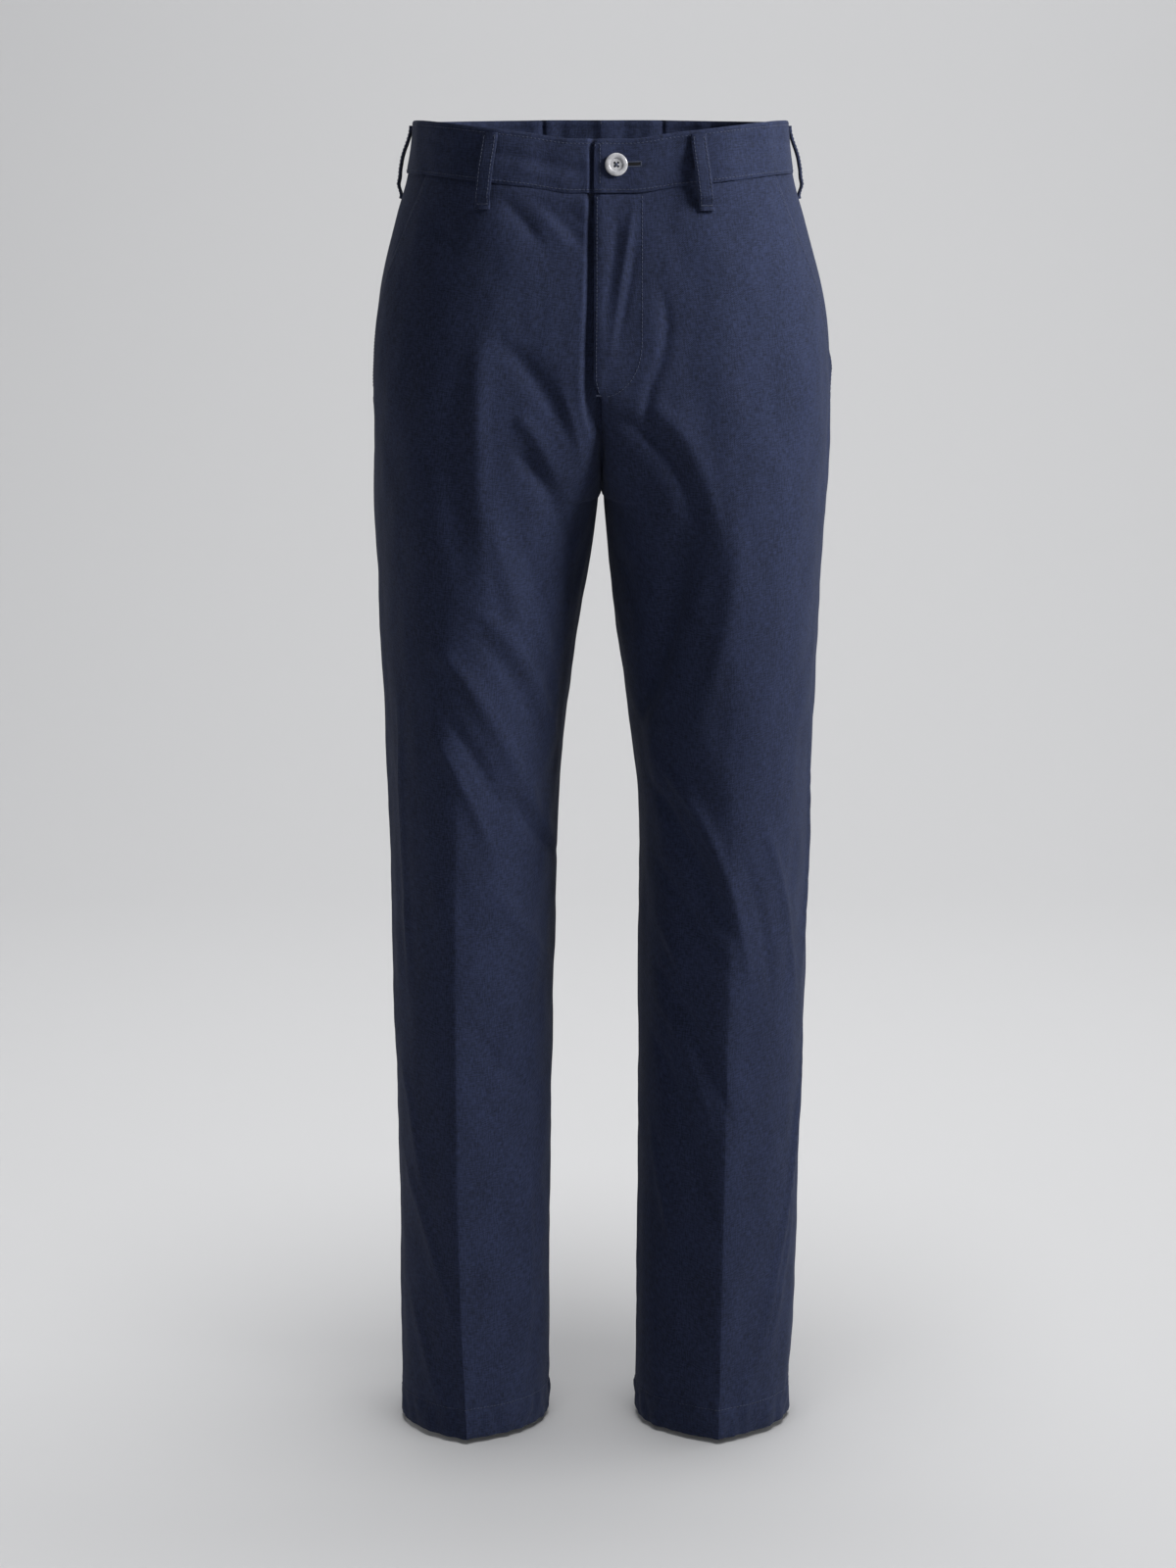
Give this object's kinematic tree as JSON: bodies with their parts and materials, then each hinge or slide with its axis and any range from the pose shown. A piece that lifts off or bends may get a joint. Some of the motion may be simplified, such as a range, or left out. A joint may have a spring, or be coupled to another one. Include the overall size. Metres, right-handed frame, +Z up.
{
  "type": "chino trousers",
  "caption": "Straight navy cotton trousers with a lapped fly front, slanted side pockets, belt loops and turned-up hems, standing filled out with no wearer.",
  "frame": {"origin": "middle of the waist, level with the waistband's top edge at the side seams, where the wearer holds the trousers", "axes": "+Z up the body, +X to the wearer's left, the front faces -Y"},
  "size_m": [0.3594, 0.2759, 1.0549],
  "materials": {
    "navy_cloth": "matt cotton twill",
    "grey_button": "polished pale grey, four holes"
  },
  "bodies": {
    "root": {"front_left": "navy_cloth", "front_right": "navy_cloth", "back_left": "navy_cloth", "back_right": "navy_cloth", "waistband_left": "navy_cloth", "waistband_right": "navy_cloth", "pocket_facing_left": "navy_cloth", "pocket_facing_right": "navy_cloth", "fly": "navy_cloth", "hem_left": "navy_cloth", "hem_right": "navy_cloth", "belt_loop_front_left": "navy_cloth", "belt_loop_front_right": "navy_cloth", "belt_loop_side_left": "navy_cloth", "belt_loop_side_right": "navy_cloth", "belt_loop_back": "navy_cloth", "button": "grey_button"}
  },
  "joints": []
}
